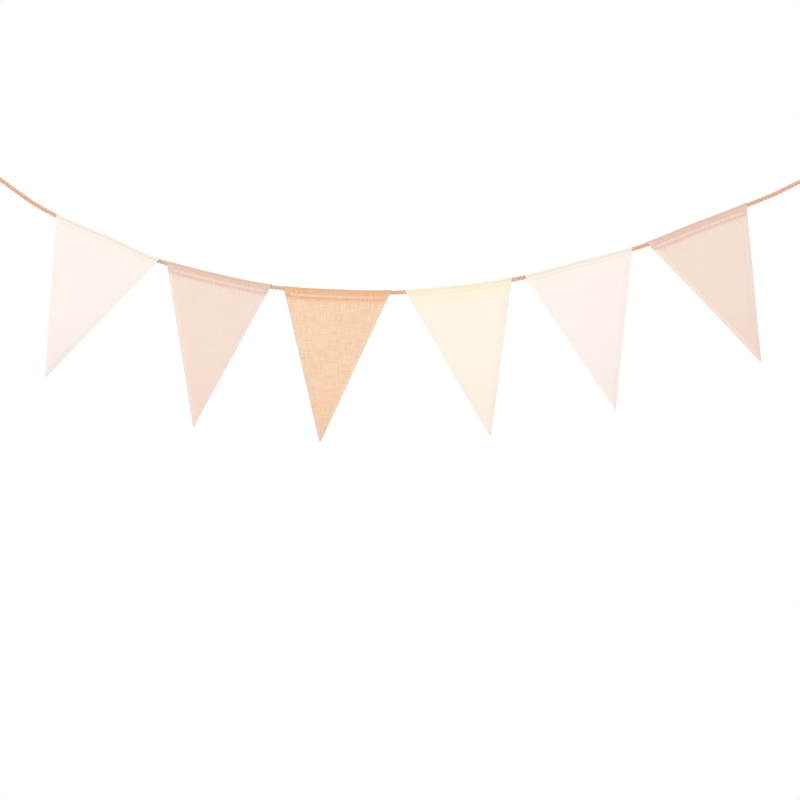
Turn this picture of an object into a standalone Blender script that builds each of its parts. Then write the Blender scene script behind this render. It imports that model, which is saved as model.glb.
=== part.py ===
"""A burlap bunting: six cloth pennants that hang on one string, with a loop at each end.

Metres, +Z up. +X runs along the string to the right, as seen from the front of the cloth, and +Y to
its back. The origin is the eye of the left hanging loop, where a hook would hold it.
"""

import math

import bpy
import numpy as np
from mathutils import Matrix, Vector

COLLECTION = "burlap_bunting"

# String, from the left knot to the right one: x and z of its centre. It hangs in the plane y = 0.
STRING_DIAMETER = 0.005
STRING_POINTS = 76
STRING_ROUTE = (
    (0.0525, -0.0364),
    (0.0761, -0.0538),
    (0.0998, -0.0700),
    (0.1273, -0.0850),
    (0.1943, -0.1140),
    (0.2612, -0.1438),
    (0.3019, -0.1548),
    (0.3399, -0.1642),
    (0.4134, -0.1784),
    (0.4961, -0.1842),
    (0.5723, -0.1851),
    (0.6536, -0.1790),
    (0.7337, -0.1667),
    (0.8111, -0.1469),
    (0.8925, -0.1253),
    (0.9660, -0.0962),
    (1.0329, -0.0706),
    (1.0697, -0.0556),
    (1.1025, -0.0398),
)

# Hanging loops: the eye of each, and the knot between the loop and the string
LOOP_EYES = {"left": (0.0, 0.0), "right": (1.1550, -0.0181)}
KNOT_NEAR = 0.0265  # from the eye to the knot's nearer face
KNOT_LENGTH = 0.013
KNOT_HALF_WIDTH = 0.0085
KNOT_FLATNESS = 0.76  # depth over width
KNOT_TURNS = 3
KNOT_FACE_HALF_WIDTH = 0.0075
KNOT_GROOVE = 0.0012
KNOT_ROUNDNESS = 0.6  # under 1, the turns are rounder than a plain wave
KNOT_STEPS = 20
KNOT_ROWS_A_TURN = 5
# Half of a loop, from the knot round to its far end: distance along and off its middle line
LOOP_HALF = (
    (0.0260, 0.00275),
    (0.0225, 0.0031),
    (0.0180, 0.0047),
    (0.0110, 0.0080),
    (0.0030, 0.0098),
    (-0.0050, 0.0083),
    (-0.0088, 0.0045),
)
LOOP_FAR_END = -0.0100
LOOP_POINTS = 29
# Free tail of each knot: distance along the string, and drop below that line
TAIL_OFFSET = 0.0054
TAIL_ROUTE = (
    (0.0000, 0.0000),
    (0.0040, 0.0002),
    (0.0080, 0.0016),
    (0.0108, 0.0048),
    (0.0122, 0.0095),
    (0.0128, 0.0150),
)
TAIL_POINTS = 12

CLEARANCE = 0.0003
MERGE_DISTANCE = 0.00005

# Pennants
CLOTH_THICKNESS = 0.001
HEM_THICKNESS = 0.0015
TIP_WIDTH = 0.002
STITCH_DEPTH = 0.0096  # below the fold, where the casing is sewn shut
FLAP_DEPTH = 0.0148  # below the fold, where the turned-over edge ends
LAYER_GAP = 0.0006
LAYER_OFFSET = LAYER_GAP / 2 + CLOTH_THICKNESS  # of the cloth's outer face, from the string's plane
CASING_SLACK = 0.0004  # between the string and the casing
HEM_START = 0.018  # below the fold, where the side hems thicken the cloth
HEM_STEP = 0.06  # half the width of a hem's inner edge, as a share of the hem
WIDEST_HEM = 0.3  # of the pennant's width there, so that the two hems fit at the tip
RIPPLE_FADE = 0.055  # below the fold, where the gathers have died down to about a third
FREE_BELOW_STITCH = 0.03  # below the stitching, where the casing no longer holds the cloth flat

FOLD_STEPS = 10
BODY_ROWS = 13
INNER_COLUMNS = 5

# One row for each pennant, left to right. start is the distance along the string from its left
# end to the pennant's left corner. lean moves the tip to the right of the top edge's middle. The
# rest shape the cloth front to back, with +Y to the back: bow is how far the middle stands ahead
# of the sides, swing moves the tip, twist turns the right side, and ripple is the height of the
# gathers below the casing, with their count across and their phase in turns.
PENNANT_COLUMNS = (
    "cloth", "start", "width", "height", "lean", "hem",
    "bow", "swing", "twist", "ripple", "count", "phase",
)
PENNANTS = (
    ("blush", 0.1109, 0.1495, 0.2027, -0.0017, 0.0070, 0.0022, 0.0060, 0.0035, 0.0006, 2.2, 0.10),
    ("rose", 0.2689, 0.1428, 0.2046, 0.0114, 0.0075, -0.0015, -0.0030, -0.0030, 0.0009, 2.6, 0.55),
    ("tan", 0.4263, 0.1431, 0.2030, -0.0149, 0.0080, 0.0018, 0.0020, 0.0030, 0.0008, 2.0, 0.30),
    ("cream", 0.5855, 0.1439, 0.2040, 0.0191, 0.0075, 0.0026, 0.0045, -0.0040, 0.0013, 1.7, 0.05),
    ("blush", 0.7449, 0.1475, 0.2010, -0.0018, 0.0075, 0.0020, -0.0025, 0.0050, 0.0007, 2.3, 0.80),
    ("rose", 0.9114, 0.1417, 0.2021, 0.0129, 0.0100, 0.0030, 0.0055, 0.0060, 0.0010, 2.1, 0.65),
)

# Linear base colour and roughness of each material
FINISHES = {
    "blush": ((0.94, 0.84, 0.80), 0.95),
    "rose": ((0.90, 0.73, 0.63), 0.95),
    "tan": ((0.90, 0.64, 0.43), 0.95),
    "cream": ((0.94, 0.87, 0.73), 0.95),
    "string": ((0.72, 0.44, 0.28), 0.90),
}


def clear_scene():
    for obj in list(bpy.data.objects):
        bpy.data.objects.remove(obj, do_unlink=True)


def make_material(name):
    colour, roughness = FINISHES[name]
    material = bpy.data.materials.new(name)
    material.use_nodes = True
    shader = material.node_tree.nodes["Principled BSDF"]
    shader.inputs["Base Color"].default_value = (*colour, 1.0)
    shader.inputs["Roughness"].default_value = roughness
    shader.inputs["Metallic"].default_value = 0.0
    material.diffuse_color = (*colour, 1.0)
    return material


def smooth_through(route, count):
    """Points evenly spread along a smooth curve through the route's own points."""
    points = np.array(route, dtype=float)
    steps = np.linalg.norm(np.diff(points, axis=0), axis=1)
    along = np.concatenate(([0.0], np.cumsum(steps)))
    slopes = np.gradient(points, along, axis=0)
    wanted = np.linspace(0.0, along[-1], count)
    piece = np.clip(np.searchsorted(along, wanted, side="right") - 1, 0, len(steps) - 1)
    span = steps[piece][:, None]
    t = (wanted - along[piece])[:, None] / span
    start_weight = (1 + 2 * t) * (1 - t) ** 2
    end_weight = t ** 2 * (3 - 2 * t)
    start_pull = t * (1 - t) ** 2 * span
    end_pull = t ** 2 * (t - 1) * span
    return (
        start_weight * points[piece]
        + end_weight * points[piece + 1]
        + start_pull * slopes[piece]
        + end_pull * slopes[piece + 1]
    )


def in_plane(points):
    """x and z pairs as points of the plane in which the string hangs."""
    return [Vector((x, 0.0, z)) for x, z in points]


class HangingString:
    """The string's centre line, read by the distance along it from its left end."""

    FINE_STEPS = 2400

    def __init__(self, route):
        self.points = smooth_through(route, self.FINE_STEPS)
        steps = np.linalg.norm(np.diff(self.points, axis=0), axis=1)
        self.distances = np.concatenate(([0.0], np.cumsum(steps)))

    def centre(self, distance):
        x = np.interp(distance, self.distances, self.points[:, 0])
        z = np.interp(distance, self.distances, self.points[:, 1])
        return Vector((x, 0.0, z))

    def upward(self, distance):
        """The direction across the string, in its plane, on its upper side."""
        reach = 0.002
        ahead = self.centre(distance + reach) - self.centre(distance - reach)
        return Vector((-ahead.z, 0.0, ahead.x)).normalized()


class LoopEnd:
    """The frame of one hanging loop: its eye, and the direction from the eye to the string."""

    def __init__(self, side):
        self.eye = Vector((LOOP_EYES[side][0], 0.0, LOOP_EYES[side][1]))
        nearest = STRING_ROUTE[0] if side == "left" else STRING_ROUTE[-1]
        self.along = (Vector((nearest[0], 0.0, nearest[1])) - self.eye).normalized()
        self.across = Vector((0.0, 1.0, 0.0)).cross(self.along)
        if self.across.z < 0:
            self.across.negate()

    def at(self, along, across=0.0):
        return self.eye + self.along * along + self.across * across

    def string_start(self):
        return self.at(KNOT_NEAR + KNOT_LENGTH + CLEARANCE)


def add_object(name, data, parent, finish):
    obj = bpy.data.objects.new(name, data)
    bpy.data.collections[COLLECTION].objects.link(obj)
    data.materials.append(bpy.data.materials[finish])
    obj.parent = parent
    return obj


def make_cord(name, points, parent):
    """A round tube with closed ends, along points given in the part's frame."""
    curve = bpy.data.curves.new(name, "CURVE")
    curve.dimensions = "3D"
    curve.bevel_depth = STRING_DIAMETER / 2
    curve.bevel_resolution = 2
    curve.use_fill_caps = True
    start = points[0]
    spline = curve.splines.new("POLY")
    spline.points.add(len(points) - 1)
    for spline_point, point in zip(spline.points, points):
        spline_point.co = (*(point - start), 1.0)
    spline.use_smooth = True
    obj = add_object(name, curve, parent, "string")
    obj.location = start
    return obj


def make_string(ends, parent):
    start, end = ends["left"].string_start(), ends["right"].string_start()
    route = [(start.x, start.z), *STRING_ROUTE, (end.x, end.z)]
    make_cord("string", in_plane(smooth_through(route, STRING_POINTS)), parent)
    return HangingString(route)


def make_hang_loop(side, end, parent):
    """The string's end bent into a loop whose two legs run into the knot."""
    far_side = [(along, -across) for along, across in reversed(LOOP_HALF)]
    route = [*LOOP_HALF, (LOOP_FAR_END, 0.0), *far_side]
    points = [end.at(along, across) for along, across in smooth_through(route, LOOP_POINTS)]
    make_cord(f"hang_loop_{side}", points, parent)


def make_string_tail(side, end, parent):
    """The short free end that leaves the knot below the string and drops."""
    start = end.string_start() - end.across * TAIL_OFFSET
    points = [
        start + end.along * along + Vector((0.0, 0.0, -drop))
        for along, drop in smooth_through(TAIL_ROUTE, TAIL_POINTS)
    ]
    make_cord(f"string_tail_{side}", points, parent)


def knot_profile():
    """Radius and height of the knot's outline, from its top face down round each turn."""
    rows = [(0.0, KNOT_LENGTH / 2), (KNOT_FACE_HALF_WIDTH, KNOT_LENGTH / 2)]
    row_count = KNOT_TURNS * KNOT_ROWS_A_TURN
    for row in range(1, row_count):
        share = row / row_count
        groove = 1 - abs(math.sin(math.pi * share * KNOT_TURNS)) ** KNOT_ROUNDNESS
        rows.append((KNOT_HALF_WIDTH - KNOT_GROOVE * groove, KNOT_LENGTH * (0.5 - share)))
    rows.append((KNOT_FACE_HALF_WIDTH, -KNOT_LENGTH / 2))
    rows.append((0.0, -KNOT_LENGTH / 2))
    return rows


def make_hang_knot(side, end, parent):
    """The turns of string that close the loop, as one turned barrel, flatter front to back."""
    profile = knot_profile()
    mesh = bpy.data.meshes.new(f"hang_knot_{side}")
    edges = [(i, i + 1) for i in range(len(profile) - 1)]
    mesh.from_pydata([(radius, 0.0, height) for radius, height in profile], edges, [])
    obj = add_object(f"hang_knot_{side}", mesh, parent, "string")
    turn = obj.modifiers.new("Turn", "SCREW")
    turn.axis = "Z"
    turn.steps = KNOT_STEPS
    turn.render_steps = KNOT_STEPS
    turn.use_merge_vertices = True
    turn.merge_threshold = MERGE_DISTANCE
    turn.use_smooth_shade = True
    axes = Matrix((end.across, end.along.cross(end.across), end.along)).transposed()
    obj.location = end.at(KNOT_NEAR + KNOT_LENGTH / 2)
    obj.rotation_euler = axes.to_euler()
    obj.scale = (1.0, KNOT_FLATNESS, 1.0)


def fold_radius():
    """Radius of the cloth's outer face where it passes over the string."""
    return STRING_DIAMETER / 2 + CASING_SLACK + CLOTH_THICKNESS


def casing_section():
    """Depth below the fold and offset to the front of the casing's outer face.

    It runs from the stitching at the back, round over the string, to the stitching at the front.
    The cloth follows the string until it can go straight to the stitching.
    """
    radius = fold_radius()
    below_centre = STITCH_DEPTH - radius
    leaves_at = math.atan2(LAYER_OFFSET, below_centre)
    leaves_at += math.acos(radius / math.hypot(LAYER_OFFSET, below_centre))
    rows = [(STITCH_DEPTH, -LAYER_OFFSET)]
    for step in range(FOLD_STEPS + 1):
        angle = leaves_at + 2 * (math.pi - leaves_at) * step / FOLD_STEPS
        rows.append((radius + radius * math.cos(angle), -radius * math.sin(angle)))
    rows.append((STITCH_DEPTH, LAYER_OFFSET))
    return rows


def pennant_section(height):
    """Depth and offset, as above, from the turned-over edge at the back to the tip."""
    rows = [(FLAP_DEPTH, -LAYER_OFFSET), *casing_section()]
    for row in range(BODY_ROWS + 1):
        depth = FLAP_DEPTH + (height - FLAP_DEPTH) * row / BODY_ROWS
        rows.append((depth, LAYER_OFFSET))
    return rows


def column_places(width, hem):
    """Distances from the pennant's middle line of its columns, with two at each hem's inner edge."""
    hem_here = min(hem, WIDEST_HEM * width)
    step = HEM_STEP * hem_here
    left = [0.0, hem_here - step, hem_here + step]
    inner_width = width - 2 * hem_here
    inner = [
        hem_here + inner_width * column / (INNER_COLUMNS + 1)
        for column in range(1, INNER_COLUMNS + 1)
    ]
    right = [width - place for place in reversed(left)]
    return [place - width / 2 for place in left + inner + right]


def drape(pennant, side, depth):
    """How far back the cloth lies. side is -1 at the left edge and 1 at the right."""
    share = depth / pennant["height"]
    below_casing = min(max((depth - STITCH_DEPTH) / FREE_BELOW_STITCH, 0.0), 1.0)
    bow = -pennant["bow"] * (1 - side * side) * math.sin(math.pi * share)
    swing = pennant["swing"] * share ** 2
    twist = pennant["twist"] * side * share * (1 - 0.5 * share)
    wave = math.sin(2 * math.pi * (pennant["count"] * side / 2 + pennant["phase"]))
    ripple = pennant["ripple"] * wave * math.exp(-depth / RIPPLE_FADE)
    return (bow + twist + ripple) * below_casing + swing


def make_pennant(number, row, string, parent):
    """One pennant: a triangle of cloth, turned over the string and down behind it as a casing."""
    pennant = dict(zip(PENNANT_COLUMNS, row))
    start = pennant["start"]
    left, right = string.centre(start), string.centre(start + pennant["width"])
    ahead = (right - left).normalized()
    upward = Vector((-ahead.z, 0.0, ahead.x))
    middle = (left + right) / 2 + upward * fold_radius()
    tip = middle + ahead * pennant["lean"] - upward * pennant["height"]
    back = Vector((0.0, 1.0, 0.0))

    section = pennant_section(pennant["height"])
    points, hem_points = [], []
    for depth, offset in section:
        share = depth / pennant["height"]
        width = pennant["width"] * (1 - share) + TIP_WIDTH * share
        places = column_places(width, pennant["hem"])
        for column, place in enumerate(places):
            along = place / width + 0.5
            distance = start + along * pennant["width"]
            fold = string.centre(distance) + string.upward(distance) * fold_radius()
            tip_place = tip + ahead * (along - 0.5) * TIP_WIDTH
            flat = fold.lerp(tip_place, share)
            points.append(flat + back * (drape(pennant, 2 * along - 1, depth) - offset))
            in_hem = column < 2 or column >= len(places) - 2
            if in_hem and offset > 0 and depth > HEM_START:
                hem_points.append(len(points) - 1)

    columns = len(places)
    faces = []
    for row_index in range(len(section) - 1):
        for column in range(columns - 1):
            corner = row_index * columns + column
            faces.append((corner, corner + columns, corner + columns + 1, corner + 1))

    name = f"pennant_{number}"
    mesh = bpy.data.meshes.new(name)
    obj = add_object(name, mesh, parent, pennant["cloth"])
    obj.location = middle
    obj.rotation_euler = (0.0, -math.atan2(ahead.z, ahead.x), 0.0)
    to_local = obj.rotation_euler.to_matrix().inverted()
    mesh.from_pydata([to_local @ (point - middle) for point in points], [], faces)
    mesh.shade_smooth()
    hem = obj.vertex_groups.new(name="hem")
    hem.add(hem_points, 1.0, "REPLACE")
    cloth = obj.modifiers.new("Cloth", "SOLIDIFY")
    cloth.thickness = HEM_THICKNESS
    cloth.offset = -1.0
    cloth.vertex_group = hem.name
    cloth.thickness_vertex_group = CLOTH_THICKNESS / HEM_THICKNESS
    cloth.use_even_offset = True


def main():
    clear_scene()
    collection = bpy.data.collections.new(COLLECTION)
    bpy.context.scene.collection.children.link(collection)
    for name in FINISHES:
        make_material(name)
    bunting = bpy.data.objects.new("bunting", None)
    collection.objects.link(bunting)

    ends = {side: LoopEnd(side) for side in LOOP_EYES}
    string = make_string(ends, bunting)
    for side, end in ends.items():
        make_hang_loop(side, end, bunting)
        make_hang_knot(side, end, bunting)
        make_string_tail(side, end, bunting)
    for number, row in enumerate(PENNANTS, start=1):
        make_pennant(number, row, string, bunting)


main()
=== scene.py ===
"""A burlap bunting: six cloth pennants that hang on one twisted string, with a loop at each end.

Metres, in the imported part's frame: +X along the string to the right, +Y to the back, +Z up.
"""

import math

import bpy
import numpy as np
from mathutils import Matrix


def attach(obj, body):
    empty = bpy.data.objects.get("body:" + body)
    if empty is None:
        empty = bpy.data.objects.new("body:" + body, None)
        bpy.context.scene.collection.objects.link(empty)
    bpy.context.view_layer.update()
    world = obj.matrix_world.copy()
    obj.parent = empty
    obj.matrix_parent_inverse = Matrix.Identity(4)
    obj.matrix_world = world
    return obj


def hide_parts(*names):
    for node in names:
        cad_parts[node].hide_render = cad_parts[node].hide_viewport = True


bl_info = {
    "name": "Burlap bunting",
    "version": (1, 0, 0),
    "blender": (4, 5, 0),
    "location": "View3D > Sidebar > Bunting",
    "description": "Six cloth pennants on a twisted string, with tied hanging loops",
    "category": "Add Mesh",
}

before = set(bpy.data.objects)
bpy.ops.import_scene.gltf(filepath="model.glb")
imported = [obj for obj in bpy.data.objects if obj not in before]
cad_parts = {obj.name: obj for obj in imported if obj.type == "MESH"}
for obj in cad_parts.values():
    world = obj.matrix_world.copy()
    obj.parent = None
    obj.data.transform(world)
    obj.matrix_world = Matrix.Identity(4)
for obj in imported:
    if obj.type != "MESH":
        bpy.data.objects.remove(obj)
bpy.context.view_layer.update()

# String and its ends, as in the part's source: x and z in the plane y = 0
STRING_ROUTE = (
    (0.0525, -0.0364), (0.0761, -0.0538), (0.0998, -0.0700), (0.1273, -0.0850),
    (0.1943, -0.1140), (0.2612, -0.1438), (0.3019, -0.1548), (0.3399, -0.1642),
    (0.4134, -0.1784), (0.4961, -0.1842), (0.5723, -0.1851), (0.6536, -0.1790),
    (0.7337, -0.1667), (0.8111, -0.1469), (0.8925, -0.1253), (0.9660, -0.0962),
    (1.0329, -0.0706), (1.0697, -0.0556), (1.1025, -0.0398),
)
LOOP_EYES = {"left": (0.0, 0.0), "right": (1.1550, -0.0181)}
KNOT_NEAR = 0.0265
KNOT_LENGTH = 0.013
KNOT_HALF_WIDTH = 0.0085
KNOT_FLATNESS = 0.76
KNOT_TURNS = 3
LOOP_HALF = (
    (0.0260, 0.00275), (0.0225, 0.0031), (0.0180, 0.0047), (0.0110, 0.0080),
    (0.0030, 0.0098), (-0.0050, 0.0083), (-0.0088, 0.0045),
)
LOOP_FAR_END = -0.0100
TAIL_OFFSET = 0.0054
TAIL_ROUTE = (
    (0.0000, 0.0000), (0.0040, 0.0002), (0.0080, 0.0016),
    (0.0108, 0.0048), (0.0122, 0.0095), (0.0128, 0.0150),
)
CLEARANCE = 0.0003

# Pennants, as in the part's source
TIP_WIDTH = 0.002
STITCH_DEPTH = 0.0096
FLAP_DEPTH = 0.0148
SOLID_FOLD_RADIUS = 0.0039
WIDEST_HEM = 0.3  # share of the pennant's width
RIPPLE_FADE = 0.055
FREE_BELOW_STITCH = 0.03
PENNANT_COLUMNS = (
    "cloth", "start", "width", "height", "lean", "hem",
    "bow", "swing", "twist", "ripple", "count", "phase",
)
PENNANTS = (
    ("blush", 0.1109, 0.1495, 0.2027, -0.0017, 0.0070, 0.0022, 0.0060, 0.0035, 0.0006, 2.2, 0.10),
    ("rose", 0.2689, 0.1428, 0.2046, 0.0114, 0.0075, -0.0015, -0.0030, -0.0030, 0.0009, 2.6, 0.55),
    ("tan", 0.4263, 0.1431, 0.2030, -0.0149, 0.0080, 0.0018, 0.0020, 0.0030, 0.0008, 2.0, 0.30),
    ("cream", 0.5855, 0.1439, 0.2040, 0.0191, 0.0075, 0.0026, 0.0045, -0.0040, 0.0013, 1.7, 0.05),
    ("blush", 0.7449, 0.1475, 0.2010, -0.0018, 0.0075, 0.0020, -0.0025, 0.0050, 0.0007, 2.3, 0.80),
    ("rose", 0.9114, 0.1417, 0.2021, 0.0129, 0.0100, 0.0030, 0.0055, 0.0060, 0.0010, 2.1, 0.65),
)

# Twisted cord
PLIES = 3
PLY_SIDES = 9
PLY_RADIUS = 0.62  # share of the cord's radius
CORD_REACH = 0.00275  # from the cord's middle to the crest of a strand
LOOP_REACH = 0.0026  # the same in the loops, which are drawn tighter
KNOT_REACH = 0.0023  # the same where it is wound in the knots
RING_SPACING = 0.001
DRAWN_IN = 0.004  # how far the string runs on inside each knot
LEGS_IN = 0.003  # how far a loop's legs and a tail do
KNOT_ENDS = 0.12  # share of a turn in which each end of the wound cord is drawn in
FIBRES = 46  # frayed out of each tail
FIBRE_LENGTHS = (0.003, 0.0065)
FIBRE_RADII = (0.00008, 0.00016)
FIBRE_ROOT = 0.0015  # how far inside the tail a fibre starts
FIBRE_REACH = 0.0021  # and how far from the tail's middle, at most
FIBRE_SPREAD = 0.0022
FIBRE_SAG = 0.001

# Cloth
BODY_OFFSET = 0.00065  # of the front layer's middle, ahead of the string's plane
SEWN_OFFSET = 0.00036  # the same at the stitching, where both layers are drawn together
FLAP_LIFT = 0.0008  # the same at the turned-over edge, behind the string's plane
STRING_SLACK = 0.00005
LAYER_SLACK = 0.00005  # between the cloth and its turned hem
HEM_CLIMB = 0.0018  # width over which the cloth climbs onto the hem behind it
WIDEST_CLIMB = 0.15  # its limit near the tip, as a share of the pennant's width
HEM_FADE = 0.005  # height below the flap over which the hem stops raising the front
HEM_AT_FOLD = 0.6  # share of a hem's thickness that shows over the string, where it is pressed
HEM_STITCH_INSET = 0.0016  # from the hem's inner edge to its stitching
STITCH_PRESS = 0.00012  # how deep that stitching presses the cloth
CASING_BULGE = 0.00012  # of the cloth between the string and the stitching
CASING_STITCH_INSET = 0.003  # from the sides to the casing's first and last stitch
FOLD_STEPS = 22
FIRST_ROW = 0.0008  # between the first rows of vertices below the flap
ROW_GROWTH = 1.08
WIDEST_ROW = 0.0019
INNER_COLUMNS = 42  # of vertices between the two hems

# Studio
MIDDLE = 0.5775  # halfway between the loops
CAMERA_PLACE = (MIDDLE, -3.5, -0.3262)
CAMERA_LENS = 120.0
KEY_PLACE = (-0.6, -4.2, 1.2)
KEY_AIM = (MIDDLE, 0.0, -0.25)
KEY_SIZE = 1.8
KEY_ENERGY = 21.0
FLOOR_HEIGHT = -1.3
FLOOR_RADIUS = 2.2
FLOOR_SIDES = 64


class BuntingSizes(bpy.types.PropertyGroup):
    """Sizes that a maker would change."""

    cloth_thickness: bpy.props.FloatProperty(
        name="Cloth thickness", description="Thickness of one layer of cloth",
        default=0.0004, min=0.0002, max=0.0009, precision=5, unit="LENGTH",
    )
    thread_pitch: bpy.props.FloatProperty(
        name="Thread pitch", description="Distance from one thread of the weave to the next",
        default=0.0011, min=0.0003, max=0.003, precision=5, unit="LENGTH",
    )
    cord_lay: bpy.props.FloatProperty(
        name="Cord lay", description="Length of cord in which its strands go round once",
        default=0.0165, min=0.008, max=0.04, precision=4, unit="LENGTH",
    )
    stitch_length: bpy.props.FloatProperty(
        name="Stitch length", description="Length of one stitch with the gap after it",
        default=0.0034, min=0.0015, max=0.008, precision=4, unit="LENGTH",
    )
    stitch_radius: bpy.props.FloatProperty(
        name="Stitch radius", description="Radius of the sewing thread",
        default=0.00022, min=0.0001, max=0.0005, precision=5, unit="LENGTH",
    )


def colour_property(name, description, default):
    return bpy.props.FloatVectorProperty(
        name=name, description=description, default=default, size=3,
        min=0.0, max=1.0, subtype="COLOR",
    )


class BuntingColours(bpy.types.PropertyGroup):
    """Colour of each cloth in one layer and, where the casing doubles it, in two."""

    blush: colour_property("Blush", "Pale pink cloth", (0.925, 0.846, 0.801))
    blush_double: colour_property("Blush, doubled", "Pale pink, two layers", (0.948, 0.860, 0.785))
    rose: colour_property("Rose", "Dusty rose cloth", (0.868, 0.697, 0.603))
    rose_double: colour_property("Rose, doubled", "Dusty rose, two layers", (0.791, 0.558, 0.457))
    tan: colour_property("Tan", "Warm tan cloth", (0.891, 0.622, 0.431))
    tan_double: colour_property("Tan, doubled", "Warm tan, two layers", (0.838, 0.491, 0.292))
    cream: colour_property("Cream", "Pale cream cloth", (0.942, 0.860, 0.745))
    cream_double: colour_property("Cream, doubled", "Pale cream, two layers", (0.950, 0.860, 0.675))
    string: colour_property("String", "Twisted jute cord", (0.768, 0.467, 0.303))
    floor: colour_property("Floor", "Plain pale floor", (0.900, 0.900, 0.900))


class Value:
    """One socket of a finish. Python's operators on it add the Math nodes."""

    def __init__(self, finish, socket):
        self.finish = finish
        self.socket = socket

    def __add__(self, other):
        return self.finish.math("ADD", self, other)

    def __radd__(self, other):
        return self.finish.math("ADD", other, self)

    def __sub__(self, other):
        return self.finish.math("SUBTRACT", self, other)

    def __rsub__(self, other):
        return self.finish.math("SUBTRACT", other, self)

    def __mul__(self, other):
        return self.finish.math("MULTIPLY", self, other)

    def __rmul__(self, other):
        return self.finish.math("MULTIPLY", other, self)

    def __truediv__(self, other):
        return self.finish.math("DIVIDE", self, other)

    def __rtruediv__(self, other):
        return self.finish.math("DIVIDE", other, self)

    def __pow__(self, other):
        return self.finish.math("POWER", self, other)

    def __rpow__(self, other):
        return self.finish.math("POWER", other, self)

    def __neg__(self):
        return self.finish.math("MULTIPLY", self, -1.0)

    def __abs__(self):
        return self.finish.math("ABSOLUTE", self)


class Finish:
    """A material under construction."""

    def __init__(self, name):
        self.material = bpy.data.materials.new(name)
        self.material.use_nodes = True
        self.tree = self.material.node_tree
        self.shader = self.tree.nodes["Principled BSDF"]

    def node(self, kind, settings=None, values=None, output=0):
        """A node of this type: settings first, then its sockets' values or links."""
        made = self.tree.nodes.new(kind)
        for name, setting in (settings or {}).items():
            setattr(made, name, setting)
        for name, value in (values or {}).items():
            self.feed(made.inputs[name], value)
        return Value(self, made.outputs[output])

    def feed(self, socket, value):
        if isinstance(value, Value):
            self.tree.links.new(value.socket, socket)
        else:
            socket.default_value = value

    def math(self, operation, *values):
        settings = {"operation": operation}
        return self.node("ShaderNodeMath", settings, dict(enumerate(values)))

    def sine(self, value):
        return self.math("SINE", value)

    def band(self, value, centre, spread):
        """1 at the centre, fading to both sides as a bell curve."""
        away = (value - centre) / spread
        return self.math("EXPONENT", -(away * away))

    def rise(self, value, start, end):
        """0 before start, 1 after end, smooth between them."""
        values = {"Value": value, "From Min": start, "From Max": end}
        return self.node("ShaderNodeMapRange", {"interpolation_type": "SMOOTHSTEP"}, values)

    def vector(self, x, y, z=0.0):
        return self.node("ShaderNodeCombineXYZ", None, {"X": x, "Y": y, "Z": z})

    def noise(self, vector, scale, detail=2.0, roughness=0.5):
        """Soft random values from 0 to 1, about 0.5 on average."""
        values = {"Vector": vector, "Scale": scale, "Detail": detail, "Roughness": roughness}
        return self.node("ShaderNodeTexNoise", None, values)

    def blend(self, share, first, second, how="MIX"):
        settings = {"data_type": "RGBA", "blend_type": how}
        values = {0: share, 6: colour(first), 7: colour(second)}
        return self.node("ShaderNodeMix", settings, values, 2)

    def shade(self, tint, amount, shares=(1.0, 1.0, 1.0)):
        """The tint made lighter or darker by a factor near 1, felt by each channel in its own share."""
        channels = {index: 1.0 + (amount - 1.0) * share for index, share in enumerate(shares)}
        factors = self.node("ShaderNodeCombineColor", None, channels)
        return self.blend(1.0, tint, factors, "MULTIPLY")

    def uv(self, name):
        """The two values of a UV map."""
        read = self.node("ShaderNodeUVMap", {"uv_map": name})
        first = self.node("ShaderNodeSeparateXYZ", None, {"Vector": read})
        return first, Value(self, first.socket.node.outputs[1])

    def surface(self, tint, roughness, height, strength, distance):
        """Feeds the shader's colour, roughness and bump."""
        self.feed(self.shader.inputs["Base Color"], colour(tint))
        self.feed(self.shader.inputs["Roughness"], roughness)
        values = {"Height": height, "Strength": strength, "Distance": distance}
        bump = self.node("ShaderNodeBump", None, values)
        self.feed(self.shader.inputs["Normal"], bump)


def colour(value):
    return value if isinstance(value, Value) else (*tuple(value)[:3], 1.0)


# Where the casing shows, as depths below the fold
DOUBLED_DEPTH = 0.0125  # where the doubled band starts to fade
HIGHLIGHT_STRIP_DEPTH = 0.0096  # of the painted highlight along the stitching
HIGHLIGHT_STRIP_SPREAD = 0.0017
LINE_SPREAD = 0.0009
TIP_SHADE = (0.982, 0.950, 0.942)
TIP_SHADE_FROM = 0.09
TIP_SHADE_TO = 0.185
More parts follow.
